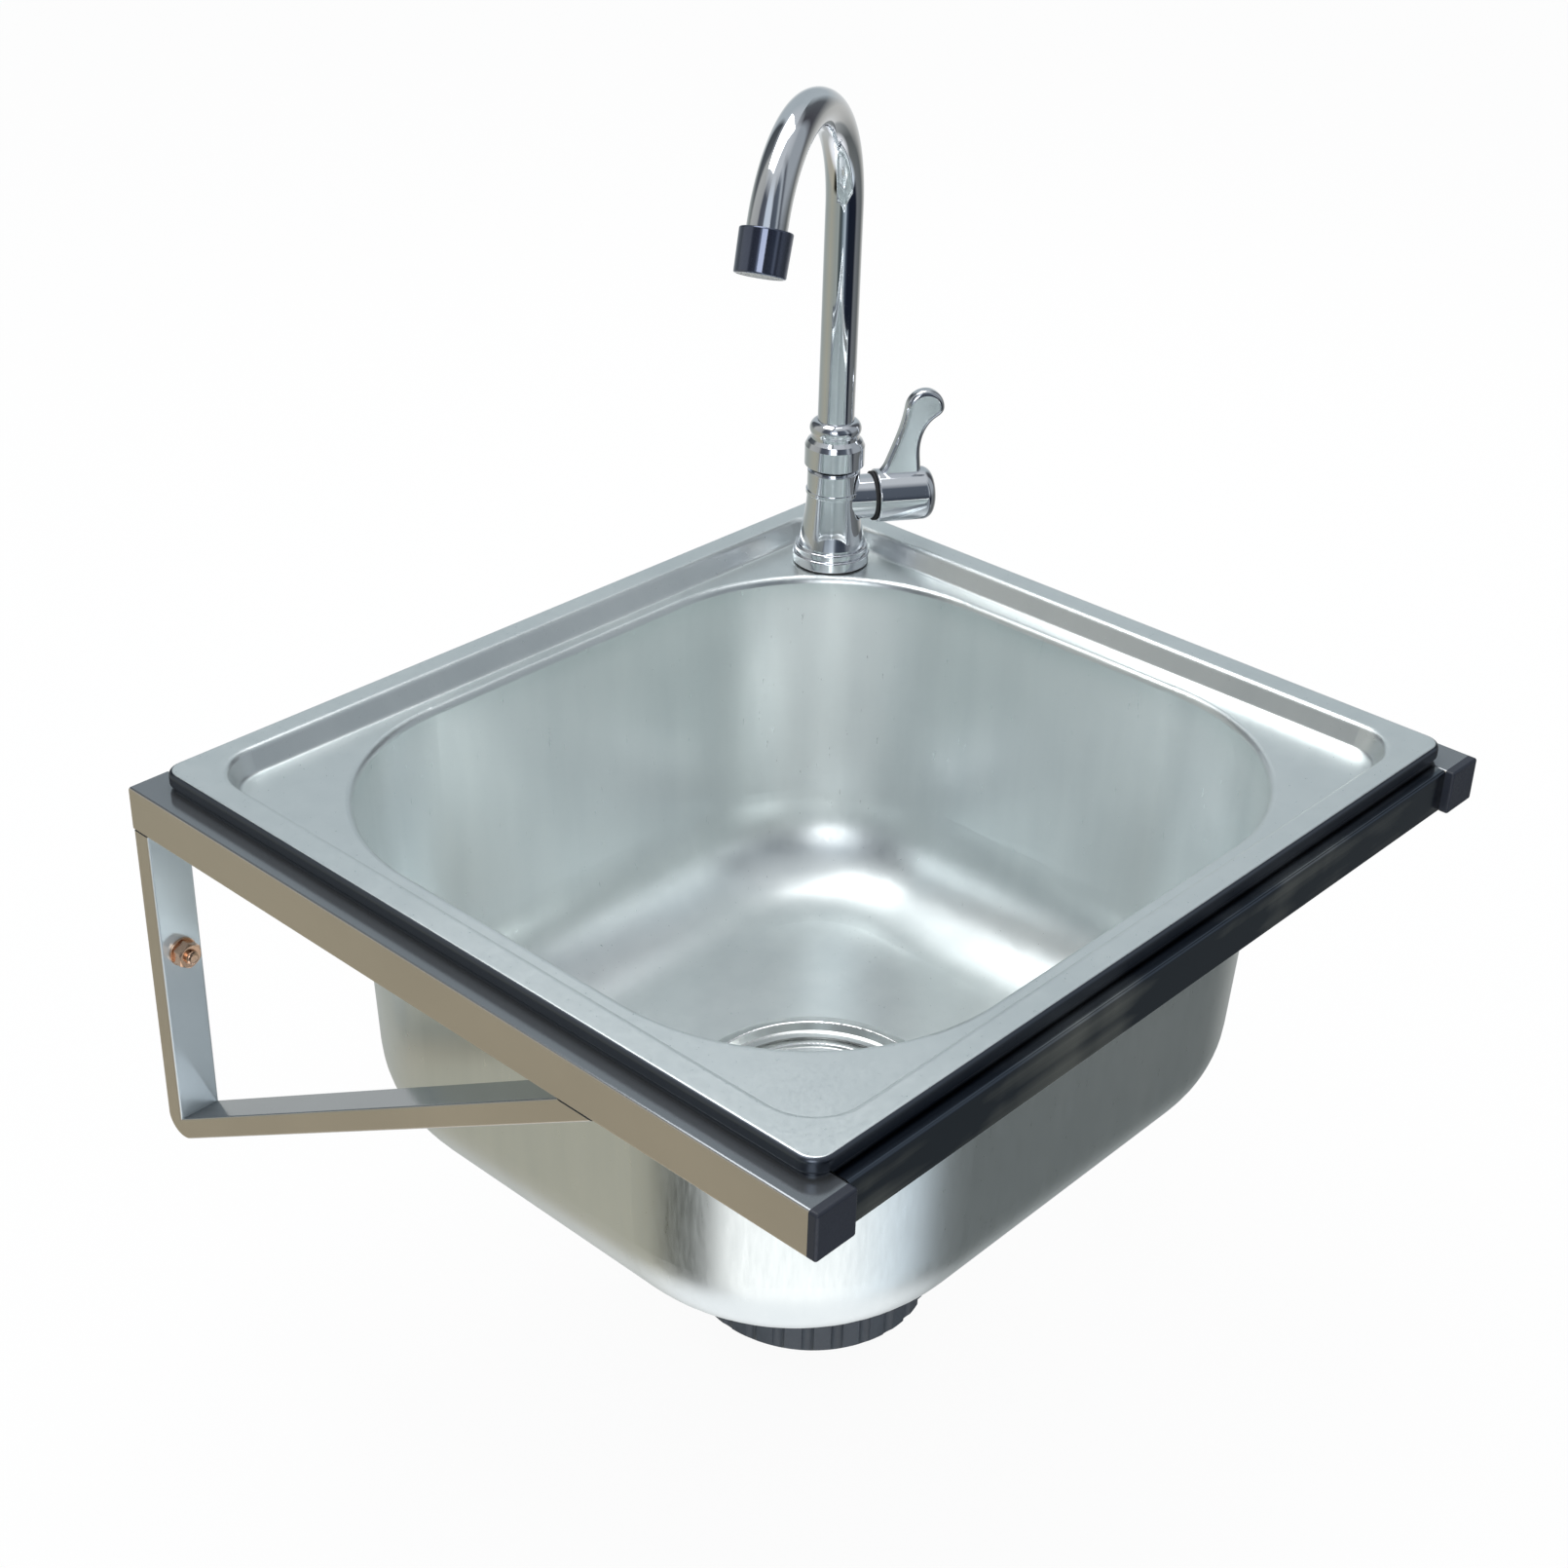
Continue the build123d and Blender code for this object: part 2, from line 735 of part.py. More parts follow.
# Flanged sleeve on the spout's foot, caught under the nut, and its seal
sleeve_top = nut_ledge - loose_gap
sleeve_radius = spout_radius + sleeve_wall
ring_low = spout_foot + o_ring_seat
ring_high = ring_low + o_ring_height + 2 * running_gap
with BuildPart() as spout_retainer:
    with BuildSketch(tap_plane):
        with BuildLine():
            Polyline(
                [
                    (spout_radius + running_gap / 2, spout_foot),
                    (sleeve_radius, spout_foot),
                    (sleeve_radius, ring_low),
                    (sleeve_radius - o_ring_groove, ring_low),
                    (sleeve_radius - o_ring_groove, ring_high),
                    (sleeve_radius, ring_high),
                    (sleeve_radius, spigot_top + loose_gap),
                    (sleeve_radius + flange_rise, spigot_top + loose_gap),
                    (sleeve_radius + flange_rise, sleeve_top),
                    (spout_radius + running_gap / 2, sleeve_top),
                ],
                close=True,
            )
        make_face()
    revolve(axis=tap_axis)
spout_retainer.part.label = "spout_retainer"
export_step(spout_retainer.part, "parts/spout_retainer.step")

with BuildPart() as spout_o_ring:
    with BuildSketch(tap_plane):
        o_ring_inner = sleeve_radius - o_ring_groove + running_gap
        o_ring_outer = socket_radius - loose_gap
        with Locations(((o_ring_inner + o_ring_outer) / 2, (ring_low + ring_high) / 2)):
            RectangleRounded(o_ring_outer - o_ring_inner, o_ring_height, o_ring_round)
    revolve(axis=tap_axis)
spout_o_ring.part.label = "spout_o_ring"
export_step(spout_o_ring.part, "parts/spout_o_ring.step")

# Outlet cap over the spout's end and the aerator inside it
tip_spot = spout_plane.from_local_coords(
    (arch_end[0] + tip_straight * sin(turn), arch_end[1] + tip_straight * cos(turn), 0)
)
tip_down = spout_plane.from_local_coords((sin(turn), cos(turn), 0)) - spout_plane.origin
tip_plane = Plane(origin=tip_spot, x_dir=spout_plane.z_dir, z_dir=tip_down)
cap_taper = degrees(atan((cap_radius - cap_end_radius) / cap_length))
with BuildPart() as outlet_cap:
    with BuildSketch(tip_plane):
        Circle(cap_radius)
    extrude(amount=cap_length, taper=cap_taper)
    fillet(outlet_cap.edges().filter_by(GeomType.CIRCLE), cap_round)
    with BuildSketch(tip_plane):
        Circle(spout_radius + running_gap)
    extrude(amount=tip_socket + running_gap, mode=Mode.SUBTRACT)
    with BuildSketch(tip_plane.offset(tip_socket + running_gap)):
        Circle(spout_radius - spout_wall)
    extrude(amount=cap_length, mode=Mode.SUBTRACT)
    with BuildSketch(tip_plane.offset(cap_length - aerator_height - aerator_inset)):
        Circle(aerator_radius)
    extrude(amount=cap_length, mode=Mode.SUBTRACT)
outlet_cap.part.label = "outlet_cap"
export_step(outlet_cap.part, "parts/outlet_cap.step")

with BuildPart() as aerator:
    with BuildSketch(tip_plane.offset(cap_length - aerator_height - aerator_inset)):
        Circle(aerator_radius - running_gap)
        Circle(aerator_hole, mode=Mode.SUBTRACT)
        for ring in range(1, aerator_rings + 1):
            with PolarLocations(ring * aerator_pitch, aerator_step * ring):
                Circle(aerator_hole, mode=Mode.SUBTRACT)
    extrude(amount=aerator_height)
aerator.part.label = "aerator"
export_step(aerator.part, "parts/aerator.step")

# Valve: cartridge across the water bore, bonnet, seal and turning spindle.
# Lengths in this section count from the tap's axis along the branch.
bonnet_end = branch_length + bonnet_length
seal_end = bonnet_end + seal_height
hub_foot = seal_end + seal_gap
hub_end = hub_foot + hub_length
with BuildPart() as valve_cartridge:
    with BuildSketch(branch_plane.offset(-cartridge_back)):
        Circle(cartridge_radius)
    extrude(amount=cartridge_back + branch_length)
    with BuildSketch(branch_plane.offset(branch_length)):
        Circle(cartridge_neck)
    extrude(amount=bonnet_length + seal_height)
    with BuildSketch(branch_plane.offset(spindle_foot - running_gap)):
        Circle(spindle_radius + running_gap)
    extrude(amount=seal_end, mode=Mode.SUBTRACT)
    with BuildSketch(Plane(origin=(tap_side, -tap_back, deck + branch_height))):
        Circle(cartridge_port)
    extrude(amount=cartridge_radius + 1, both=True, mode=Mode.SUBTRACT)
valve_cartridge.part.label = "valve_cartridge"
export_step(valve_cartridge.part, "parts/valve_cartridge.step")

with BuildPart() as valve_bonnet:
    with BuildSketch(branch_plane.offset(branch_length)):
        Circle(branch_radius)
        Circle(cartridge_neck + cartridge_clearance, mode=Mode.SUBTRACT)
    extrude(amount=bonnet_length)
valve_bonnet.part.label = "valve_bonnet"
export_step(valve_bonnet.part, "parts/valve_bonnet.step")

with BuildPart() as handle_seal:
    with BuildSketch(branch_plane.offset(bonnet_end)):
        Circle(seal_radius)
        Circle(cartridge_neck + cartridge_clearance, mode=Mode.SUBTRACT)
    extrude(amount=seal_height)
handle_seal.part.label = "handle_seal"
export_step(handle_seal.part, "parts/handle_seal.step")

spindle_shoulder = hub_foot + hub_hollow_depth
spindle_end = hub_end - hub_recess_depth - hub_web
with BuildPart() as valve_spindle:
    with BuildSketch(branch_plane.offset(spindle_foot)):
        Circle(spindle_radius)
    extrude(amount=spindle_shoulder - spindle_foot)
    with BuildSketch(branch_plane.offset(spindle_shoulder)):
        Rectangle(spindle_square, spindle_square)
    extrude(amount=spindle_end - spindle_shoulder)
    with BuildSketch(branch_plane.offset(spindle_end)):
        Circle(screw_radius + running_gap)
    extrude(amount=-screw_length, mode=Mode.SUBTRACT)
valve_spindle.part.label = "valve_spindle"
export_step(valve_spindle.part, "parts/valve_spindle.step")

# Handle: a barrel hub with an upright lever that flares out of it and ends in a
# round head
lever_plane = Plane(
    origin=(tap_side, -tap_back, deck + branch_height),
    x_dir=branch_dir,
    z_dir=(branch_dir[1], -branch_dir[0], 0),
)
head_start = radians(lever_head_start)
head_finish = radians(lever_head_finish)
head_side = hub_end + lever_head_side
head_left = (head_side + lever_head * cos(head_start), lever_head_height + lever_head * sin(head_start))
head_right = (head_side + lever_head * cos(head_finish), lever_head_height + lever_head * sin(head_finish))
lever_foot = (hub_end, hub_radius - lever_root)
lever_start = (hub_foot + lever_margin, hub_radius - lever_toe)
with BuildPart() as handle:
    with BuildSketch(lever_plane):
        with BuildLine():
            Line(lever_foot, lever_start)
            Spline(
                lever_start,
                (hub_end + lever_flare[0], lever_flare[1]),
                (hub_end + lever_back[0], lever_back[1]),
                head_left,
                tangents=[(1, 0.5), (sin(head_start), -cos(head_start))],
            )
            ThreePointArc(head_left, (head_side, lever_head_height + lever_head), head_right)
            Spline(
                head_right,
                (hub_end + lever_shoulder[0], lever_shoulder[1]),
                (hub_end + lever_throat[0], lever_throat[1]),
                lever_foot,
                tangents=[(sin(head_finish), -cos(head_finish)), (0, -1)],
            )
        make_face()
    extrude(amount=lever_thickness / 2, both=True)
    broad_faces = handle.faces().sort_by(SortBy.AREA)[-2:]
    rounded_edges = broad_faces.edges().filter_by(
        lambda edge: edge.center().Z > deck + branch_height + hub_radius
    )
    fillet(rounded_edges, lever_round)
    with BuildSketch(lever_plane) as hub_profile:
        with Locations((hub_foot + hub_length / 2, hub_radius / 2)):
            Rectangle(hub_length, hub_radius)
        fillet(hub_profile.vertices().sort_by(Axis.X)[:2].sort_by(Axis.Y)[-1], hub_round)
    revolve(axis=Axis(branch_plane.origin, branch_plane.z_dir))
    with BuildSketch(branch_plane.offset(hub_foot)):
        Circle(hub_hollow)
    extrude(amount=hub_hollow_depth, mode=Mode.SUBTRACT)
    with BuildSketch(branch_plane.offset(spindle_shoulder)):
        Rectangle(spindle_square + 2 * running_gap, spindle_square + 2 * running_gap)
    extrude(amount=spindle_end - spindle_shoulder, mode=Mode.SUBTRACT)
    with BuildSketch(branch_plane.offset(spindle_end)):
        Circle(screw_radius + loose_gap)
    extrude(amount=hub_web, mode=Mode.SUBTRACT)
    with BuildSketch(branch_plane.offset(hub_end - hub_recess_depth)):
        Circle(hub_recess)
    extrude(amount=hub_recess_depth, mode=Mode.SUBTRACT)
handle.part.label = "handle"
export_step(handle.part, "parts/handle.step")

with BuildPart() as handle_screw:
    with BuildSketch(branch_plane.offset(spindle_end + hub_web)):
        Circle(screw_head)
    extrude(amount=screw_head_height)
    with BuildSketch(branch_plane.offset(spindle_end + hub_web)):
        Circle(screw_radius)
    extrude(amount=-(hub_web + screw_length - screw_tip_gap))
    with BuildSketch(branch_plane.offset(spindle_end + hub_web + screw_head_height)):
        RegularPolygon(screw_head / 2, 6)
    extrude(amount=-screw_head_height / 2, mode=Mode.SUBTRACT)
handle_screw.part.label = "handle_screw"
export_step(handle_screw.part, "parts/handle_screw.step")

with BuildPart() as handle_cap:
    with BuildSketch(branch_plane.offset(hub_end)):
        Circle(hub_radius)
    extrude(amount=cap_height)
    cap_rim = handle_cap.edges().filter_by(GeomType.CIRCLE).sort_by(
        lambda edge: edge.center().dot(Vector(*branch_dir))
    )
    fillet(cap_rim[-1], hub_cap_round)
    with BuildSketch(branch_plane.offset(hub_end)):
        Circle(hub_recess - running_gap)
    extrude(amount=-hub_recess_depth + running_gap)
    with BuildSketch(branch_plane.offset(hub_end - hub_recess_depth)):
        Circle(hub_cap_hollow)
    extrude(amount=hub_recess_depth + screw_head_height / 2, mode=Mode.SUBTRACT)
handle_cap.part.label = "handle_cap"
export_step(handle_cap.part, "parts/handle_cap.step")

# Clamp of the tap under the deck
deck_under = -sheet
with BuildPart() as shank_washer:
    with BuildSketch(tap_foot.offset(deck_under)):
        Circle(shank_washer_radius)
        Circle(shank_radius + shank_washer_clearance, mode=Mode.SUBTRACT)
    extrude(amount=-shank_washer_height)
shank_washer.part.label = "shank_washer"
export_step(shank_washer.part, "parts/shank_washer.step")

with BuildPart() as shank_nut:
    with BuildSketch(tap_foot.offset(deck_under - shank_washer_height)):
        RegularPolygon(shank_nut_flats / 2, 6, major_radius=False)
        Circle(shank_radius + shank_clearance, mode=Mode.SUBTRACT)
    extrude(amount=-shank_nut_height)
shank_nut.part.label = "shank_nut"
export_step(shank_nut.part, "parts/shank_nut.step")

# Drain: dished flange on its gasket, with a threaded neck through the bowl and a
# shelf in the neck for the basket
drain_axis = Axis((0, drain_y, 0), (0, 0, 1))
drain_plane = Plane(origin=(0, drain_y, 0), x_dir=(1, 0, 0), z_dir=(0, -1, 0))
drain_foot = Plane(origin=(0, drain_y, 0))
gasket_top = seat + flange_gasket_height
ledge = gasket_top + flange_sheet
shelf = ledge - shelf_drop
with BuildPart() as flange_gasket:
    with BuildSketch(drain_foot.offset(seat)):
        Circle(flange_gasket_radius)
        Circle(drain_hole, mode=Mode.SUBTRACT)
    extrude(amount=flange_gasket_height)
flange_gasket.part.label = "flange_gasket"
export_step(flange_gasket.part, "parts/flange_gasket.step")

with BuildPart() as drain_flange:
    with BuildSketch(drain_plane) as flange_profile:
        with BuildLine():
            Polyline(
                [
                    (neck_inner, gasket_top - neck_length),
                    (neck_radius, gasket_top - neck_length),
                    (neck_radius, gasket_top),
                    (flange_radius, gasket_top),
                    (flange_radius, gasket_top + flange_bead),
                    (flange_radius - flange_bead_width, gasket_top + flange_bead),
                    (flange_ledge, ledge),
                    (neck_inner, ledge),
                    (neck_inner, shelf),
                    (shelf_mouth, shelf),
                    (shelf_mouth, shelf - flange_sheet),
                    (neck_inner, shelf - flange_sheet),
                ],
                close=True,
            )
        make_face()
        fillet(flange_profile.vertices().group_by(Axis.Y)[-1], flange_bead_round)
    revolve(axis=drain_axis)
drain_flange.part.label = "drain_flange"
export_step(drain_flange.part, "parts/drain_flange.step")

# Waste cup screwed up against the bowl's underside
cup_gasket_top = seat - sheet
cup_top = cup_gasket_top - cup_gasket_height
with BuildPart() as cup_gasket:
    with BuildSketch(drain_foot.offset(cup_gasket_top)):
        Circle(flange_gasket_radius)
        Circle(drain_hole, mode=Mode.SUBTRACT)
    extrude(amount=-cup_gasket_height)
cup_gasket.part.label = "cup_gasket"
export_step(cup_gasket.part, "parts/cup_gasket.step")

spigot_foot = cup_bottom - spigot_length
with BuildPart() as waste_cup:
    with BuildSketch(drain_plane):
        with BuildLine():
            Polyline(
                [
                    (cup_thread, cup_top),
                    (cup_radius, cup_top),
                    (cup_radius, cup_bottom),
                    (spigot_outer, cup_bottom),
                    (spigot_outer, spigot_foot),
                    (spigot_bore, spigot_foot),
                    (spigot_bore, cup_bottom + cup_shelf),
                    (cup_bore, cup_bottom + cup_shelf + cup_slope),
                    (cup_bore, cup_top - cup_collar - cup_bore + cup_thread),
                    (cup_thread, cup_top - cup_collar),
                ],
                close=True,
            )
        make_face()
    revolve(axis=drain_axis)
    with BuildSketch(drain_foot.offset(cup_top - cup_rib_width)):
        with PolarLocations(cup_radius, cup_rib_count):
            Rectangle(2 * cup_rib_depth, cup_rib_width)
    extrude(amount=cup_bottom - cup_top + 2 * cup_rib_width)
waste_cup.part.label = "waste_cup"
export_step(waste_cup.part, "parts/waste_cup.step")

# Ribbed union nut, washer and threaded outlet below the cup
union_top = cup_bottom - loose_gap
union_foot = union_top - union_height
union_ledge = union_foot + union_floor
tail_top = union_ledge + tail_flange_height
tail_thread_top = union_foot - tail_undercut
tail_foot = tail_thread_top - tail_thread
with BuildPart() as union_nut:
    with BuildSketch(drain_plane) as union_profile:
        with BuildLine():
            Polyline(
                [
                    (tail_radius + tail_clearance, union_foot),
                    (union_radius, union_foot),
                    (union_radius, union_top),
                    (union_bore, union_top),
                    (union_bore, union_ledge),
                    (tail_radius + tail_clearance, union_ledge),
                ],
                close=True,
            )
        make_face()
        outer_corners = union_profile.vertices().group_by(Axis.X)[-1]
        chamfer(outer_corners, union_bevel)
    revolve(axis=drain_axis)
    with BuildSketch(drain_foot.offset(union_foot)):
        with PolarLocations(union_radius + union_rib_radius - union_rib_depth, union_rib_count):
            Circle(union_rib_radius)
    extrude(amount=union_height, mode=Mode.SUBTRACT)
union_nut.part.label = "union_nut"
export_step(union_nut.part, "parts/union_nut.step")

with BuildPart() as outlet_washer:
    with BuildSketch(drain_foot.offset(tail_top)):
        Circle(tail_flange_radius)
        Circle(spigot_bore, mode=Mode.SUBTRACT)
    extrude(amount=spigot_foot - tail_top)
outlet_washer.part.label = "outlet_washer"
export_step(outlet_washer.part, "parts/outlet_washer.step")

with BuildPart() as outlet_tail:
    with BuildSketch(drain_plane):
        with BuildLine():
            Polyline(
                [
                    (tail_bore, tail_foot),
                    (tail_radius, tail_foot),
                    (tail_radius, tail_thread_top),
                    (tail_radius - tail_undercut, tail_thread_top),
                    (tail_radius - tail_undercut, union_ledge),
                    (tail_flange_radius, union_ledge),
                    (tail_flange_radius, tail_top),
                    (spigot_bore - tail_flange_height, tail_top),
                    (tail_bore, union_ledge + tail_undercut),
                ],
                close=True,
            )
        make_face()
    revolve(axis=drain_axis)
outlet_tail.part.label = "outlet_tail"
export_step(outlet_tail.part, "parts/outlet_tail.step")

# Perforated basket that hangs in the flange, and the lid over it
rim_foot = shelf + loose_gap
basket_foot = rim_foot - basket_depth
with BuildPart() as basket:
    with BuildSketch(drain_plane):
        with BuildLine():
            Polyline(
                [
                    (0, basket_foot),
                    (basket_radius, basket_foot),
                    (basket_radius, rim_foot),
                    (basket_rim, rim_foot),
                    (basket_rim, rim_foot + basket_sheet),
                    (basket_radius - basket_sheet, rim_foot + basket_sheet),
                    (basket_radius - basket_sheet, basket_foot + basket_sheet),
                    (basket_hub, basket_foot + basket_sheet),
                    (basket_hub, basket_foot + basket_hub_height),
                    (0, basket_foot + basket_hub_height),
                ],
                close=True,
            )
        make_face()
    revolve(axis=drain_axis)
    with BuildSketch(drain_foot.offset(basket_foot)):
        for ring in range(1, basket_hole_rings + 1):
            with PolarLocations(basket_hub + ring * basket_hole_pitch, basket_hole_step * ring):
                Circle(basket_hole)
    extrude(amount=basket_sheet, mode=Mode.SUBTRACT)
    with BuildSketch(drain_foot.offset(basket_foot + basket_hub_height)):
        Circle(lid_stem + lid_stem_gap)
    extrude(amount=-basket_hub_height + basket_sheet, mode=Mode.SUBTRACT)
basket.part.label = "basket"
export_step(basket.part, "parts/basket.step")

lid_top = rim_foot + basket_sheet + lid_gap + lid_sheet + lid_dish
lid_panel_top = lid_top - lid_dish
lid_panel_foot = lid_panel_top - lid_sheet
lid_ring_inner = lid_radius - lid_ring
lid_panel_edge = lid_ring_inner - lid_flange
stem_foot = basket_foot + basket_hub_height / 2
with BuildPart() as basket_lid:
    with BuildSketch(drain_plane):
        with BuildLine():
            Polyline(
                [
                    (0, stem_foot),
                    (lid_stem, stem_foot),
                    (lid_stem, lid_panel_foot),
                    (lid_panel_edge - lid_fit, lid_panel_foot),
                    (lid_panel_edge - lid_fit, lid_panel_top),
                    (0, lid_panel_top),
                ],
                close=True,
            )
        make_face()
    revolve(axis=drain_axis)
basket_lid.part.label = "basket_lid"
export_step(basket_lid.part, "parts/basket_lid.step")

# Bright ring pressed around the lid, over the basket's rim
with BuildPart() as lid_trim:
    with BuildSketch(drain_plane) as trim_profile:
        with BuildLine():
            Polyline(
                [
                    (lid_panel_edge, lid_panel_foot),
                    (lid_ring_inner, lid_panel_foot),
                    (lid_ring_inner, rim_foot),
                    (lid_radius, rim_foot),
                    (lid_radius, lid_top),
                    (lid_ring_inner, lid_top),
                    (lid_ring_inner - lid_dish / 2, lid_panel_top),
                    (lid_panel_edge, lid_panel_top),
                ],
                close=True,
            )
        make_face()
        fillet(trim_profile.vertices().group_by(Axis.Y)[-1], lid_round)
    revolve(axis=drain_axis)
lid_trim.part.label = "lid_trim"
export_step(lid_trim.part, "parts/lid_trim.step")
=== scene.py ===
import math

import bpy
from mathutils import Matrix, Vector


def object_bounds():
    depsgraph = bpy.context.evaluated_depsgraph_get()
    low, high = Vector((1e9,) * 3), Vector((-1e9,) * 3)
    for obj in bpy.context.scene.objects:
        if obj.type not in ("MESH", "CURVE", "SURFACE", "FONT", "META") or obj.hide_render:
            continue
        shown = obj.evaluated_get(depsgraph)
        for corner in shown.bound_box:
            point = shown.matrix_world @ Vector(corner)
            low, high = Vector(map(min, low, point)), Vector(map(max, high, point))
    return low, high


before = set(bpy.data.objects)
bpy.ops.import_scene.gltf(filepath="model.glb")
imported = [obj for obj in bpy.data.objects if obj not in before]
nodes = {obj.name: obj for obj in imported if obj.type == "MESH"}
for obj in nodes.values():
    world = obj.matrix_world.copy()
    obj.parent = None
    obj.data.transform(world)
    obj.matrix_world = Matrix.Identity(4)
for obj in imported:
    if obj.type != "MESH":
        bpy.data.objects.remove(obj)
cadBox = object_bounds()
print("frame loaded:", len(nodes), "nodes")


# small helpers for shader trees

def newMaterial(name):
    material = bpy.data.materials.new(name)
    material.use_nodes = True
    material.node_tree.nodes.clear()
    return material, material.node_tree


def addNode(tree, kind, inputs=None, **settings):
    # an input is a plain value or another node's output
    node = tree.nodes.new(kind)
    for key, value in settings.items():
        setattr(node, key, value)
    for key, value in (inputs or {}).items():
        if isinstance(value, bpy.types.NodeSocket):
            tree.links.new(value, node.inputs[key])
        else:
            node.inputs[key].default_value = value
    return node


def opaque(tone):
    return (*tone, 1)


def addMath(tree, operation, *values):
    return addNode(tree, "ShaderNodeMath", dict(enumerate(values)), operation=operation).outputs[0]


def addDot(tree, first, second):
    inputs = {0: first, 1: second}
    return addNode(tree, "ShaderNodeVectorMath", inputs, operation="DOT_PRODUCT").outputs["Value"]


def addMix(tree, factor, first, second, blend="MIX"):
    inputs = {"Factor": factor, "A": first, "B": second}
    return addNode(tree, "ShaderNodeMix", inputs, data_type="RGBA", blend_type=blend).outputs["Result"]


def addShaderMix(tree, factor, first, second):
    return addNode(tree, "ShaderNodeMixShader", {0: factor, 1: first, 2: second}).outputs[0]


noiseBand = (0.3, 0.7)  # most of a noise's values lie here
wholeBand = (0.0, 1.0)


def addRange(tree, value, low, high, band=noiseBand):
    # low at the start of the band and high at its end
    inputs = {"Value": value, "From Min": band[0], "From Max": band[1], "To Min": low, "To Max": high}
    return addNode(tree, "ShaderNodeMapRange", inputs).outputs["Result"]


def addMask(tree, value, band):
    return addRange(tree, value, 0.0, 1.0, band)


def splitVector(tree, vector):
    return addNode(tree, "ShaderNodeSeparateXYZ", {0: vector}).outputs


def addRamp(tree, factor, stops):
    ramp = addNode(tree, "ShaderNodeValToRGB", {"Fac": factor})
    elements = ramp.color_ramp.elements
    while len(elements) < len(stops):
        elements.new(0.5)
    for element, (place, tone) in zip(elements, stops):
        element.position = place
        element.color = opaque(tone)
    return ramp.outputs["Color"]


# shared effects

def newGroup(name, inputs, outputs):
    # inputs hold a socket kind and its first value
    tree = bpy.data.node_groups.new(name, "ShaderNodeTree")
    for socketName, (kind, value) in inputs.items():
        socket = tree.interface.new_socket(name=socketName, in_out="INPUT", socket_type=kind)
        socket.default_value = value
    for socketName in outputs:
        tree.interface.new_socket(name=socketName, in_out="OUTPUT", socket_type="NodeSocketFloat")
    entry = addNode(tree, "NodeGroupInput").outputs
    place = addNode(tree, "ShaderNodeTexCoord").outputs["Object"]
    return tree, entry, place


def brushedGroup():
    # long thin scratches along one axis: Stretch is the scale along X, Y and Z
    inputs = {"Stretch": ("NodeSocketVector", (1, 1, 1)), "Detail": ("NodeSocketFloat", 6.0)}
    tree, entry, place = newGroup("brushedGrain", inputs, ["Grain", "Streak"])
    factors = {0: place, 1: entry["Stretch"]}
    scaled = addNode(tree, "ShaderNodeVectorMath", factors, operation="MULTIPLY").outputs[0]
    fineInputs = {"Vector": scaled, "Scale": 1.0, "Detail": entry["Detail"], "Roughness": 0.65}
    fine = addNode(tree, "ShaderNodeTexNoise", fineInputs)
    broadInputs = {"Vector": scaled, "Scale": 0.13, "Detail": 3.0, "Roughness": 0.5}
    broad = addNode(tree, "ShaderNodeTexNoise", broadInputs)
    results = {"Grain": fine.outputs["Fac"], "Streak": broad.outputs["Fac"]}
    addNode(tree, "NodeGroupOutput", results)
    return tree


def cloudGroup():
    # soft uneven patches, such as handling marks and the bloom of a rolled sheet
    inputs = {"Scale": ("NodeSocketFloat", 8.0)}
    tree, entry, place = newGroup("softClouds", inputs, ["Clouds"])
    cloudInputs = {"Vector": place, "Scale": entry["Scale"], "Detail": 3.0, "Roughness": 0.45}
    cloud = addNode(tree, "ShaderNodeTexNoise", dict(cloudInputs, Distortion=0.4))
    addNode(tree, "NodeGroupOutput", {"Clouds": cloud.outputs["Fac"]})
    return tree


brushedGrain = brushedGroup()
softClouds = cloudGroup()


def addGrain(tree, stretch):
    return addNode(tree, "ShaderNodeGroup", {"Stretch": stretch}, node_tree=brushedGrain).outputs


def addClouds(tree, scale):
    return addNode(tree, "ShaderNodeGroup", {"Scale": scale}, node_tree=softClouds).outputs["Clouds"]


def finishShader(tree, settings, colour, roughness, metallic, height):
    relief = {"Height": height, "Distance": settings["bumpHeight"], "Strength": settings["bumpStrength"]}
    bump = addNode(tree, "ShaderNodeBump", relief)
    inputs = {"Base Color": colour, "Roughness": roughness, "Metallic": metallic}
    shader = addNode(tree, "ShaderNodeBsdfPrincipled", dict(inputs, Normal=bump.outputs["Normal"]))
    addNode(tree, "ShaderNodeOutputMaterial", {"Surface": shader.outputs["BSDF"]})


# brushed sheet steel

def bowlMasks(tree, settings):
    # share inside the bowl, share on the outer skirt for its painted shade, and share in the upright
    # corner by the tap for its painted sheen
    place = addNode(tree, "ShaderNodeNewGeometry").outputs
    ends = {0: settings["middle"], 1: place["Position"]}
    toMiddle = addNode(tree, "ShaderNodeVectorMath", ends, operation="SUBTRACT").outputs[0]
    inner = addMask(tree, addDot(tree, place["Normal"], toMiddle), settings["innerBand"])
    height = splitVector(tree, place["Position"])["Z"]
    belowDeck = addRange(tree, height, 1.0, 0.0, settings["deckBand"])
    inside = addMath(tree, "MULTIPLY", inner, belowDeck)
    outer = addMath(tree, "SUBTRACT", 1.0, inner)
    skirt = addMath(tree, "MULTIPLY", outer, addMask(tree, height, settings["skirtShadeBand"]))
    cornerSheenFacing = addDot(tree, place["Normal"], settings["cornerSheenWay"])
    corner = addMask(tree, cornerSheenFacing, settings["cornerSheenBand"])
    return inside, skirt, addMath(tree, "MULTIPLY", corner, inside)


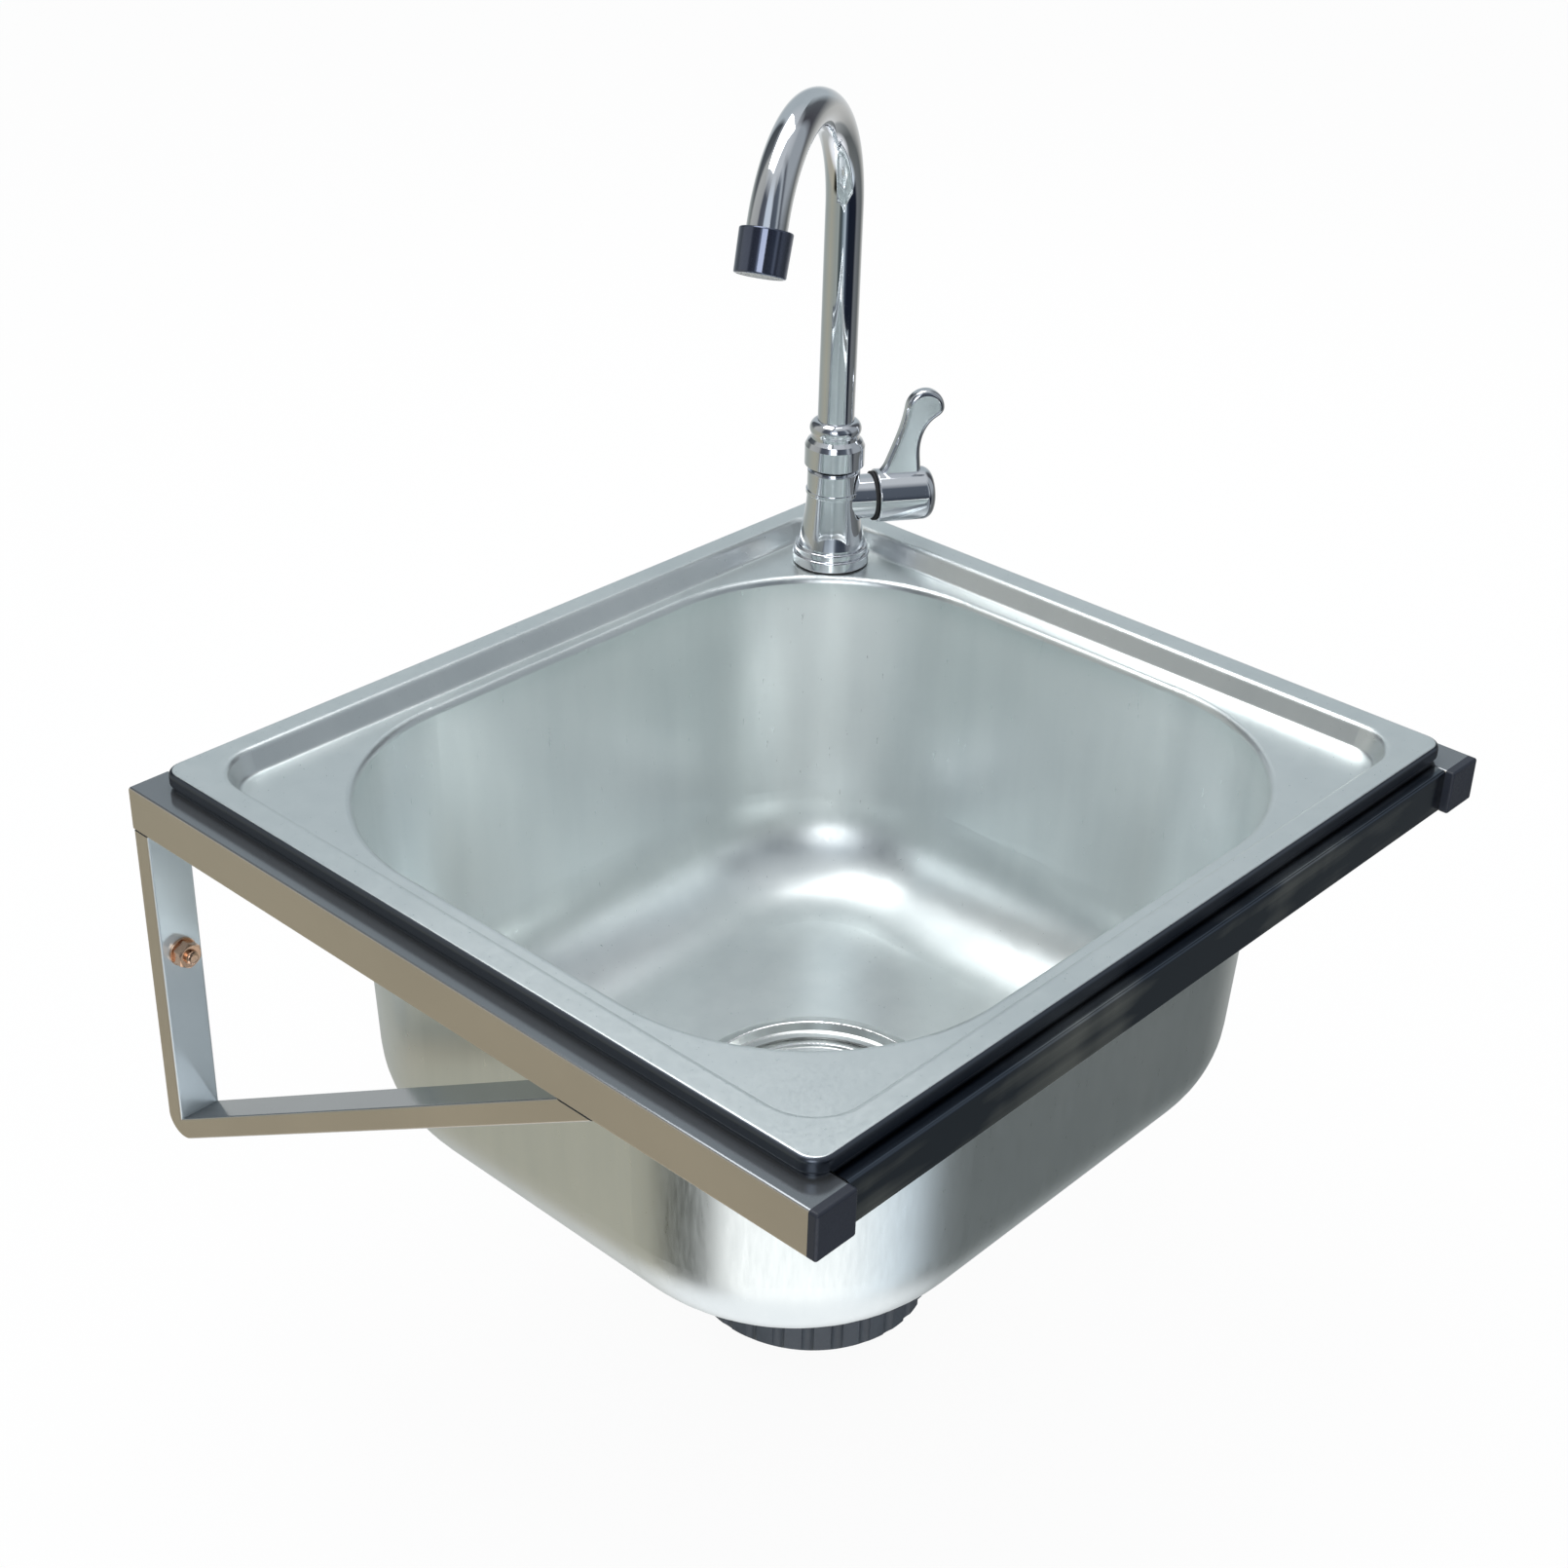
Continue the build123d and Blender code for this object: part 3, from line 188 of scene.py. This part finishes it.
def brushedSteel(name, settings, zones=None):
    material, tree = newMaterial(name)
    grain = addGrain(tree, settings["stretch"])
    clouds = addClouds(tree, settings["cloudScale"])
    tone = addMath(tree, "MULTIPLY_ADD", grain["Streak"], settings["streakShare"], clouds)
    share = addMask(tree, tone, settings["toneBand"])
    colour = addMix(tree, share, opaque(settings["dark"]), opaque(settings["light"]))
    rough = addRange(tree, grain["Grain"], settings["roughLow"], settings["roughHigh"])
    metallic = 1.0
    if zones:  # the skirt darkens the colour as painted shade, the inside is less like a mirror, and its corner less still as a painted sheen
        inside, skirt, corner = bowlMasks(tree, zones)
        # painted shade: the skirt under the rim is darkened in its colour
        skirtShaded = addMix(tree, skirt, opaque((1, 1, 1)), opaque(zones["skirtShadeTone"]))
        colour = addMix(tree, 1.0, colour, skirtShaded, "MULTIPLY")
        matte = addMath(tree, "MULTIPLY_ADD", inside, -zones["insideMatte"], 1.0)
        # painted sheen: the upright corner is made less like a mirror, so it shows brighter
        metallic = addMath(tree, "MULTIPLY_ADD", corner, -zones["cornerSheenMatte"], matte)
    finishShader(tree, settings, colour, rough, metallic, grain["Grain"])
    return material


bowlFinish = {
    "stretch": (420, 420, 60),
    "cloudScale": 5.0,
    "dark": (0.80, 0.85, 0.85),
    "light": (0.93, 0.97, 0.96),
    "streakShare": 0.35,
    "toneBand": (0.45, 0.85),
    "roughLow": 0.27,
    "roughHigh": 0.36,
    "bumpHeight": 0.00004,
    "bumpStrength": 0.25,
}
bowlZones = {
    "middle": (0, -0.235, 0.2),
    "innerBand": (-0.01, 0.01),
    "deckBand": (0.082, 0.092),
    # the skirt band and tone are painted shade under the rim; the corner way, band and matte are a
    # painted sheen
    "skirtShadeBand": (0.084, 0.090),
    "skirtShadeTone": (0.14, 0.15, 0.18),
    "cornerSheenWay": (-0.707, -0.707, 0),
    "cornerSheenBand": (0.90, 1.0),
    "insideMatte": 0.16,
    "cornerSheenMatte": 0.40,
}
drainFinish = dict(
    bowlFinish,
    dark=(0.80, 0.81, 0.80),
    light=(0.93, 0.94, 0.93),
    roughLow=0.14,
    roughHigh=0.22,
)
lidFinish = dict(
    drainFinish,
    dark=(0.60, 0.61, 0.54),
    light=(0.74, 0.75, 0.68),
    roughLow=0.4,
    roughHigh=0.55,
)
# the front bar's dark tone is a painted dark reflection, and its bright streaks are brushed grain partly
# painted as reflection
barReflectionFinish = dict(
    bowlFinish,
    stretch=(10, 700, 700),
    cloudScale=18.0,
    dark=(0.10, 0.12, 0.15),
    light=(0.60, 0.60, 0.56),
    streakShare=1.0,
    toneBand=(0.85, 1.35),
    roughLow=0.10,
    roughHigh=0.22,
)
bowlSteel = brushedSteel("bowlSteel", bowlFinish, bowlZones)
drainSteel = brushedSteel("drainSteel", drainFinish)
lidSteel = brushedSteel("lidSteel", lidFinish)
barReflectionSteel = brushedSteel("barReflectionSteel", barReflectionFinish)


# square and flat tube

frameFinish = {
    "stretch": (900, 12, 900),
    "cloudScale": 14.0,
    "cloudTone": (0.86, 0.86, 0.86),
    # the side, front and top tones are painted reflection and shade, chosen by which way a face points
    "side": (0.68, 0.60, 0.48),
    "front": (0.80, 0.90, 0.95),
    "topReflection": (0.34, 0.36, 0.38),
    "sideBand": (0.55, 0.85),
    "topBand": (0.4, 0.75),
    "frontMetal": 0.45,
    "sideMetal": 0.85,
    "sideRough": 0.42,
    "topRough": 0.16,
    "bumpHeight": 0.00003,
    "bumpStrength": 0.2,
}


def frameSteel(name, settings):
    # sides, fronts and tops are polished differently, and each gets its own tone as painted reflection
    # and shade by the way it faces
    material, tree = newMaterial(name)
    grain = addGrain(tree, settings["stretch"])
    clouds = addClouds(tree, settings["cloudScale"])
    facing = splitVector(tree, addNode(tree, "ShaderNodeNewGeometry").outputs["Normal"])
    sideMask = addMask(tree, addMath(tree, "ABSOLUTE", facing["X"]), settings["sideBand"])
    topMask = addMask(tree, addMath(tree, "ABSOLUTE", facing["Z"]), settings["topBand"])
    # painted reflection and shade: the tone follows which way the face points
    frontTop = addMix(tree, topMask, opaque(settings["front"]), opaque(settings["topReflection"]))
    sided = addMix(tree, sideMask, frontTop, opaque(settings["side"]))
    shade = addMix(tree, clouds, opaque((1, 1, 1)), opaque(settings["cloudTone"]))
    colour = addMix(tree, 1.0, sided, shade, "MULTIPLY")
    levels = {"Factor": sideMask, "A": settings["topRough"], "B": settings["sideRough"]}
    rough = addNode(tree, "ShaderNodeMix", levels, data_type="FLOAT").outputs["Result"]
    notFront = addMath(tree, "MAXIMUM", sideMask, topMask)
    metallic = addRange(tree, notFront, settings["frontMetal"], settings["sideMetal"], wholeBand)
    finishShader(tree, settings, colour, rough, metallic, grain["Grain"])
    return material


armSteel = frameSteel("armSteel", frameFinish)
postSteel = frameSteel("postSteel", dict(frameFinish, stretch=(900, 900, 12)))


# plated and polished metal

def platedMetal(name, settings):
    material, tree = newMaterial(name)
    clouds = addClouds(tree, settings["cloudScale"])
    colour = addMix(tree, clouds, opaque(settings["dark"]), opaque(settings["light"]))
    rough = addRange(tree, clouds, settings["roughLow"], settings["roughHigh"])
    finishShader(tree, settings, colour, rough, settings["metallic"], clouds)
    return material


tapFinish = {
    "cloudScale": 30.0,
    "dark": (0.80, 0.82, 0.86),
    "light": (0.90, 0.91, 0.93),
    "roughLow": 0.02,
    "roughHigh": 0.06,
    "metallic": 1.0,
    "bumpHeight": 0.00002,
    "bumpStrength": 0.1,
}
zincFinish = dict(
    tapFinish,
    cloudScale=160.0,
    dark=(0.62, 0.34, 0.20),
    light=(0.90, 0.66, 0.50),
    roughLow=0.18,
    roughHigh=0.3,
)
brassFinish = dict(
    tapFinish,
    cloudScale=90.0,
    dark=(0.55, 0.38, 0.14),
    light=(0.76, 0.58, 0.28),
    roughLow=0.22,
    roughHigh=0.34,
)
capFinish = dict(
    tapFinish,
    dark=(0.13, 0.15, 0.21),
    light=(0.19, 0.21, 0.28),
    roughLow=0.06,
    roughHigh=0.12,
    metallic=0.95,
)
tapChrome = platedMetal("tapChrome", tapFinish)
zincPlate = platedMetal("zincPlate", zincFinish)
brassPlain = platedMetal("brassPlain", brassFinish)
capGloss = platedMetal("capGloss", capFinish)


# plastics and rubber

def moulded(name, settings):
    material, tree = newMaterial(name)
    place = addNode(tree, "ShaderNodeTexCoord").outputs["Object"]
    skinInputs = {"Vector": place, "Scale": settings["skinScale"], "Detail": settings["skinDetail"]}
    skin = addNode(tree, "ShaderNodeTexNoise", skinInputs).outputs["Fac"]
    clouds = addClouds(tree, settings["cloudScale"])
    colour = addMix(tree, clouds, opaque(settings["dark"]), opaque(settings["light"]))
    rough = addRange(tree, skin, settings["roughLow"], settings["roughHigh"])
    finishShader(tree, settings, colour, rough, 0.0, skin)
    return material


plugFinish = {
    "skinScale": 900.0,
    "skinDetail": 4.0,
    "cloudScale": 25.0,
    "dark": (0.014, 0.018, 0.030),
    "light": (0.028, 0.034, 0.050),
    "roughLow": 0.34,
    "roughHigh": 0.5,
    "bumpHeight": 0.00005,
    "bumpStrength": 0.4,
}
wasteFinish = dict(plugFinish, dark=(0.045, 0.055, 0.070), light=(0.085, 0.10, 0.12))
aeratorFinish = dict(plugFinish, dark=(0.55, 0.56, 0.54), light=(0.68, 0.68, 0.66))
rubberFinish = dict(
    plugFinish,
    dark=(0.012, 0.012, 0.013),
    light=(0.025, 0.025, 0.027),
    roughLow=0.6,
    roughHigh=0.75,
)
plugPlastic = moulded("plugPlastic", plugFinish)
wastePlastic = moulded("wastePlastic", wasteFinish)
palePlastic = moulded("palePlastic", aeratorFinish)
sealRubber = moulded("sealRubber", rubberFinish)


# each node's finish

finishes = [
    (bowlSteel, ["sink_bowl"]),
    (armSteel, ["left_arm", "right_arm", "left_brace", "right_brace"]),
    (postSteel, ["left_post", "right_post"]),
    (barReflectionSteel, ["front_bar"]),
    (plugPlastic, ["left_plug", "right_plug"]),
    (zincPlate, ["anchor_nuts", "anchor_washers", "anchor_stud_ends"]),
    (tapChrome, ["tap_body", "spout_nut", "spout_tube"]),
    (tapChrome, ["valve_bonnet", "handle", "handle_cap"]),
    (capGloss, ["outlet_cap"]),
    (palePlastic, ["aerator"]),
    (brassPlain, ["valve_cartridge", "valve_spindle", "spout_retainer"]),
    (brassPlain, ["shank_nut", "handle_screw"]),
    (drainSteel, ["drain_flange", "basket", "lid_trim"]),
    (lidSteel, ["basket_lid"]),
    (wastePlastic, ["waste_cup", "union_nut", "outlet_tail"]),
    (sealRubber, ["base_gasket", "handle_seal", "spout_o_ring"]),
    (sealRubber, ["flange_gasket", "cup_gasket", "shank_washer", "outlet_washer"]),
]
dressed = 0
for material, names in finishes:
    for name in names:
        mesh = nodes[name].data
        mesh.materials.clear()
        mesh.materials.append(material)
        dressed += 1
print("materials:", dressed, "nodes dressed")


# floor

floorSettings = {
    "size": 12.0,
    "middle": (0, -0.24),
    "white": (0.90, 0.90, 0.90),
    "shownWhite": 0.94,
}


def buildFloor(settings):
    # the camera sees the floor mostly lit by itself, so it stays white around the shadow;
    # the metal sees through it to the studio below
    bpy.ops.object.select_all(action="DESELECT")
    bpy.ops.mesh.primitive_plane_add(size=settings["size"])
    floor = bpy.context.object
    floor.name = "studioFloor"
    lowest = cadBox[0][2]
    floor.data.transform(Matrix.Translation((*settings["middle"], lowest)))
    material, tree = newMaterial("studioWhite")
    plain = addNode(tree, "ShaderNodeBsdfDiffuse", {"Color": opaque(settings["white"])}).outputs[0]
    glow = addNode(tree, "ShaderNodeEmission", {"Color": opaque((1, 1, 1)), "Strength": 1.0}).outputs[0]
    clear = addNode(tree, "ShaderNodeBsdfTransparent").outputs[0]
    path = addNode(tree, "ShaderNodeLightPath").outputs
    seen = addMath(tree, "MAXIMUM", path["Is Camera Ray"], path["Is Transmission Ray"])
    share = addMath(tree, "MULTIPLY", seen, settings["shownWhite"])
    lit = addShaderMix(tree, share, plain, glow)
    surface = addShaderMix(tree, path["Is Glossy Ray"], lit, clear)
    addNode(tree, "ShaderNodeOutputMaterial", {"Surface": surface})
    floor.data.materials.append(material)


# what the metal sees around it, by compass turn (0 at -X, 0.25 at -Y, 0.5 at +X, 0.75 at +Y):
# pale walls with dark gaps between them, far below, near the floor and above the sink
deepWalls = [
    (0.000, (0.16, 0.16, 0.14)),
    (0.015, (1.30, 1.30, 1.30)),
    (0.190, (1.30, 1.30, 1.30)),
    (0.285, (0.85, 0.95, 1.05)),
    (0.350, (0.15, 0.16, 0.16)),
    (0.450, (0.11, 0.12, 0.12)),
    (0.620, (0.50, 0.52, 0.52)),
    (0.800, (0.42, 0.40, 0.34)),
    (0.890, (0.42, 0.40, 0.32)),
    (0.925, (0.02, 0.02, 0.015)),
    (0.995, (0.02, 0.02, 0.015)),
    (1.000, (0.16, 0.16, 0.14)),
]
lowWalls = [
    (0.000, (0.30, 0.33, 0.31)),
    (0.030, (0.33, 0.36, 0.34)),
    (0.047, (0.09, 0.11, 0.11)),
    (0.085, (0.06, 0.08, 0.09)),
    (0.100, (0.20, 0.25, 0.28)),
    (0.140, (0.45, 0.52, 0.58)),
    (0.165, (0.06, 0.08, 0.11)),
    (0.200, (0.010, 0.014, 0.025)),
    (0.310, (0.012, 0.016, 0.026)),
    (0.345, (0.16, 0.17, 0.18)),
    (0.440, (0.12, 0.13, 0.13)),
    (0.520, (0.50, 0.50, 0.48)),
    (0.620, (0.85, 0.87, 0.88)),
    (0.700, (0.45, 0.48, 0.47)),
    (0.760, (0.33, 0.36, 0.34)),
    (0.890, (0.38, 0.375, 0.31)),
    (1.000, (0.30, 0.33, 0.31)),
]
highWalls = [
    (0.000, (0.08, 0.09, 0.11)),
    (0.040, (0.12, 0.13, 0.16)),
    (0.060, (0.55, 0.62, 0.70)),
    (0.130, (0.60, 0.66, 0.74)),
    (0.150, (0.06, 0.07, 0.09)),
    (0.240, (0.10, 0.12, 0.15)),
    (0.270, (0.40, 0.44, 0.48)),
    (0.300, (0.08, 0.09, 0.11)),
    (0.330, (0.32, 0.35, 0.38)),
    (0.430, (0.32, 0.35, 0.38)),
    (0.455, (0.06, 0.06, 0.07)),
    (0.510, (0.10, 0.11, 0.12)),
    (0.545, (0.42, 0.47, 0.50)),
    (0.620, (0.39, 0.44, 0.47)),
    (0.695, (0.42, 0.47, 0.50)),
    (0.715, (0.06, 0.07, 0.08)),
    (0.790, (0.10, 0.11, 0.12)),
    (0.820, (0.42, 0.43, 0.42)),
    (0.930, (0.36, 0.37, 0.37)),
    (0.960, (0.08, 0.09, 0.11)),
]
roomSettings = {  # a band is a pair of heights on the unit ball of directions
    "deepBand": (-0.52, -0.60),
    "highBand": (-0.15, 0.2),
    "ceilingBand": (0.7, 0.9),
    "groundBand": (-0.80, -0.92),
    "ceilingTone": (0.52, 0.55, 0.58),
    "groundTone": (0.95, 0.97, 1.0),
    "ambientTone": (0.95, 0.97, 1.0),
    "ambientStrength": 0.75,
}


def buildWorld(settings):
    world = bpy.data.worlds.new("studio")
    bpy.context.scene.world = world
    world.use_nodes = True
    tree = world.node_tree
    tree.nodes.clear()
    way = splitVector(tree, addNode(tree, "ShaderNodeTexCoord").outputs["Generated"])
    turn = addMath(tree, "ARCTAN2", way["Y"], way["X"])
    compass = addMask(tree, turn, (-math.pi, math.pi))
    deep = addRamp(tree, compass, deepWalls)
    low = addRamp(tree, compass, lowWalls)
    high = addRamp(tree, compass, highWalls)
    foot = addMix(tree, addMask(tree, way["Z"], settings["deepBand"]), low, deep)
    walls = addMix(tree, addMask(tree, way["Z"], settings["highBand"]), foot, high)
    roofed = addMix(
        tree, addMask(tree, way["Z"], settings["ceilingBand"]), walls, opaque(settings["ceilingTone"])
    )
    around = addMix(
        tree, addMask(tree, way["Z"], settings["groundBand"]), roofed, opaque(settings["groundTone"])
    )
    room = addNode(tree, "ShaderNodeBackground", {"Color": around, "Strength": 1.0}).outputs[0]
    plainInputs = {"Color": opaque(settings["ambientTone"]), "Strength": settings["ambientStrength"]}
    plain = addNode(tree, "ShaderNodeBackground", plainInputs).outputs[0]
    whiteInputs = {"Color": opaque((1, 1, 1)), "Strength": 1.0}
    white = addNode(tree, "ShaderNodeBackground", whiteInputs).outputs[0]
    path = addNode(tree, "ShaderNodeLightPath").outputs
    mirrored = addShaderMix(tree, path["Is Glossy Ray"], plain, room)
    shown = addShaderMix(tree, path["Is Camera Ray"], mirrored, white)
    addNode(tree, "ShaderNodeOutputWorld", {"Surface": shown})


lampAim = (0, -0.24, 0)
lampSettings = [
    {
        "name": "overhead",
        "place": (0.0, 0.3, 2.1),
        "size": (1.6, 1.2),
        "power": 16,
        "mirrored": True,
    },
    {
        "name": "backRight",
        "place": (1.5, 0.6, 1.4),
        "size": (0.8, 1.2),
        "power": 7,
        "mirrored": False,
    },
    {
        "name": "frontLeft",
        "place": (-1.8, -1.6, 1.1),
        "size": (1.0, 1.0),
        "power": 7,
        "mirrored": True,
    },
]


def buildLamp(settings):
    data = bpy.data.lights.new(settings["name"], "AREA")
    data.shape = "RECTANGLE"
    data.size, data.size_y = settings["size"]
    data.energy = settings["power"]
    lamp = bpy.data.objects.new(settings["name"], data)
    lamp.visible_glossy = settings["mirrored"]
    bpy.context.scene.collection.objects.link(lamp)
    place = Vector(settings["place"])
    away = place - Vector(lampAim)
    lamp.matrix_world = Matrix.Translation(place) @ away.to_track_quat("Z", "Y").to_matrix().to_4x4()


buildFloor(floorSettings)
buildWorld(roomSettings)
for settings in lampSettings:
    buildLamp(settings)
print("floor, world and lamps built")


# camera at the photograph's angle

cameraSettings = {
    "lens": 56.47,
    "sensor": 36,
    "place": (-0.8391, -0.9659, 0.7396),
    "yaw": 48.04,
    "pitch": 30.21,
    "roll": 1.78,
}


def buildCamera(settings):
    data = bpy.data.cameras.new("photoCamera")
    data.lens = settings["lens"]
    data.sensor_width = settings["sensor"]
    camera = bpy.data.objects.new("photoCamera", data)
    bpy.context.scene.collection.objects.link(camera)
    turn = Matrix.Rotation(-math.radians(settings["yaw"]), 4, "Z")
    tilt = Matrix.Rotation(math.radians(90 - settings["pitch"]), 4, "X")
    roll = Matrix.Rotation(math.radians(settings["roll"]), 4, "Z")
    camera.matrix_world = Matrix.Translation(settings["place"]) @ turn @ tilt @ roll
    bpy.context.scene.camera = camera


buildCamera(cameraSettings)
bpy.context.scene.view_settings.view_transform = "Standard"
print("camera set")
